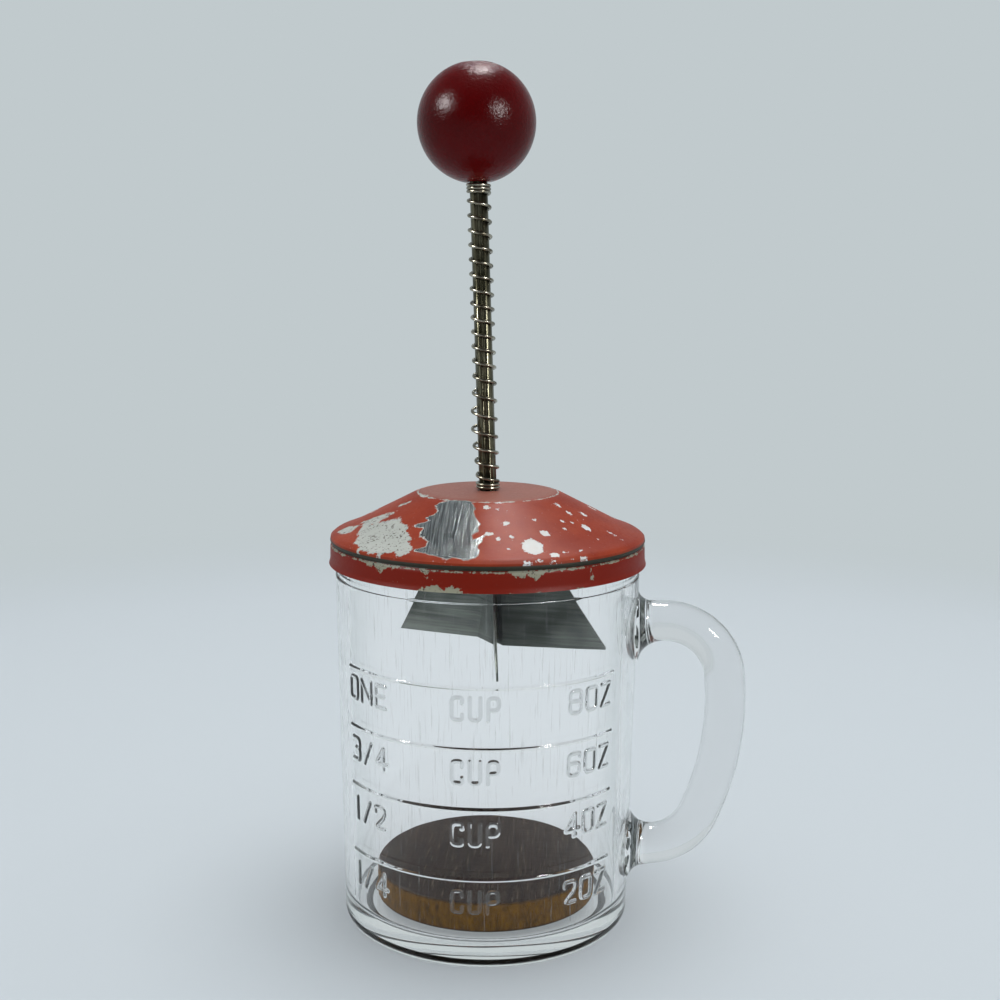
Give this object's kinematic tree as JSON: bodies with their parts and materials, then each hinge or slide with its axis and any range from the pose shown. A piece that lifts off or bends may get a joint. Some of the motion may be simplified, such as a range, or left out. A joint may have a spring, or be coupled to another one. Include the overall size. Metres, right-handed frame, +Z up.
{
  "type": "plunger food chopper",
  "caption": "Glass measuring mug with loop handle, loose wooden chopping disc, slip-on stamped cap and a sprung plunger with ball knob and bent steel blades.",
  "frame": {"origin": "centre of the mug's foot, on the surface that it stands on", "axes": "+Z up along the mug's axis, +X towards the handle, the measure marks face -Y"},
  "size_m": [0.1085, 0.0818, 0.2192],
  "materials": {
    "clear_glass": "clear pressed glass, fire polished",
    "disc_wood": "bare turned hardwood, greyed and cut on top",
    "cap_paint": "worn orange-red enamel on tinplate",
    "rod_steel": "dull nickel plate",
    "knob_lacquer": "dark red gloss lacquer on turned hardwood",
    "spring_steel": "bright drawn wire",
    "blade_steel": "rolled stainless sheet"
  },
  "bodies": {
    "mug": {"glass_mug": "clear_glass"},
    "disc": {"chopping_disc": "disc_wood"},
    "cap": {"cap_shell": "cap_paint"},
    "spring": {"return_spring": "spring_steel"},
    "plunger": {"plunger_rod": "rod_steel", "ball_knob": "knob_lacquer", "stop_washer": "rod_steel", "stop_pin": "rod_steel", "front_blade_sheet": "blade_steel", "rear_blade_sheet": "blade_steel"}
  },
  "joints": [
    {"name": "disc_spin", "type": "hinge", "parent": "mug", "child": "disc", "pos_m": [0, 0, 0.0102], "axis": [0, 0, 1], "continuous": true},
    {"name": "cap_lift", "type": "slide", "parent": "mug", "child": "cap", "axis": [0, 0, 1], "range_m": [0, 0.08]},
    {"name": "plunger_spin", "type": "hinge", "parent": "cap", "child": "spring", "pos_m": [0, 0, 0.1129], "axis": [-0.0361, 0, 0.9993], "continuous": true},
    {"name": "plunger_press", "type": "slide", "parent": "spring", "child": "plunger", "axis": [0.0361, 0, -0.9993], "range_m": [0, 0.055], "stiffness_N_per_m": 300, "springref_m": -0.01, "deforming": ["return_spring"]}
  ]
}
